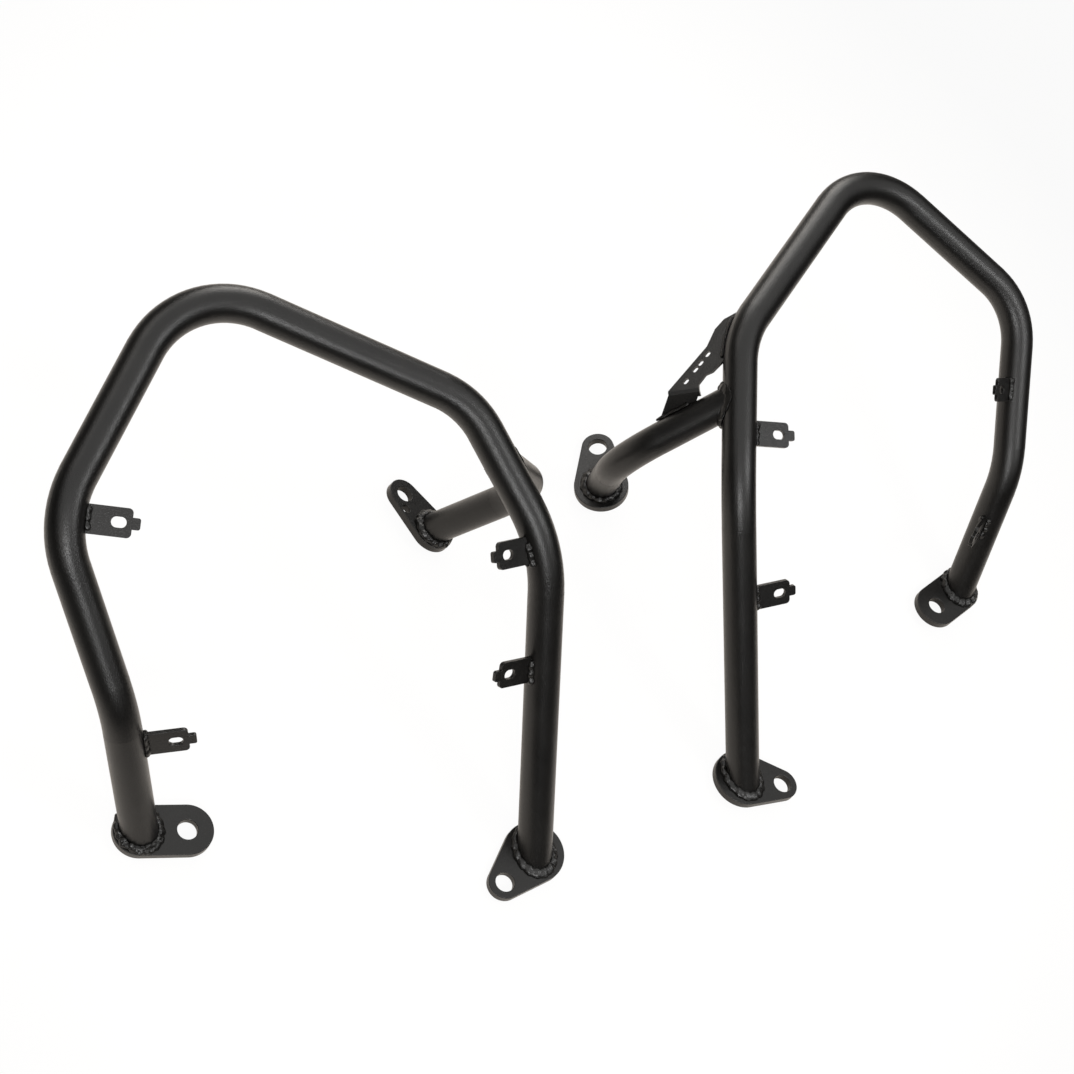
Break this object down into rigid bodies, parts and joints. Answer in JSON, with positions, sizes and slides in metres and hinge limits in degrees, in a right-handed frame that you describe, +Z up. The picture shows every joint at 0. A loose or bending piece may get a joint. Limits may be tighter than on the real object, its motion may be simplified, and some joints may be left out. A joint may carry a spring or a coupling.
{
  "type": "motorcycle crash bars",
  "caption": "Pair of bent tube crash bars for a motorcycle, each with a welded branch tube, drilled foot plates and slotted tabs, lying on the ground on their feet.",
  "frame": {"origin": "on the ground under the middle of the pair's box", "axes": "+Z up, +X along the pair from the left bar to the right bar, +Y away from the front feet"},
  "size_m": [0.8117, 0.5177, 0.2207],
  "materials": {
    "powder_coat": "fine satin black powder coat over steel tube, plate and weld beads"
  },
  "bodies": {
    "root": {"left_main_tube": "powder_coat", "left_branch_tube": "powder_coat", "left_branch_weld": "powder_coat", "left_front_foot": "powder_coat", "left_rear_foot": "powder_coat", "left_branch_foot": "powder_coat", "left_front_foot_weld": "powder_coat", "left_rear_foot_weld": "powder_coat", "left_branch_foot_weld": "powder_coat", "left_crown_tab": "powder_coat", "left_rear_tab": "powder_coat", "left_upper_tab": "powder_coat", "left_lower_tab": "powder_coat", "left_crown_tab_weld": "powder_coat", "left_rear_tab_weld": "powder_coat", "left_upper_tab_weld": "powder_coat", "left_lower_tab_weld": "powder_coat", "right_main_tube": "powder_coat", "right_branch_tube": "powder_coat", "right_branch_weld": "powder_coat", "right_front_foot": "powder_coat", "right_rear_foot": "powder_coat", "right_branch_foot": "powder_coat", "right_front_foot_weld": "powder_coat", "right_rear_foot_weld": "powder_coat", "right_branch_foot_weld": "powder_coat", "right_crown_tab": "powder_coat", "right_rear_tab": "powder_coat", "right_upper_tab": "powder_coat", "right_lower_tab": "powder_coat", "right_crown_tab_weld": "powder_coat", "right_rear_tab_weld": "powder_coat", "right_upper_tab_weld": "powder_coat", "right_lower_tab_weld": "powder_coat", "right_slotted_bracket": "powder_coat", "right_bracket_weld": "powder_coat"}
  },
  "joints": []
}
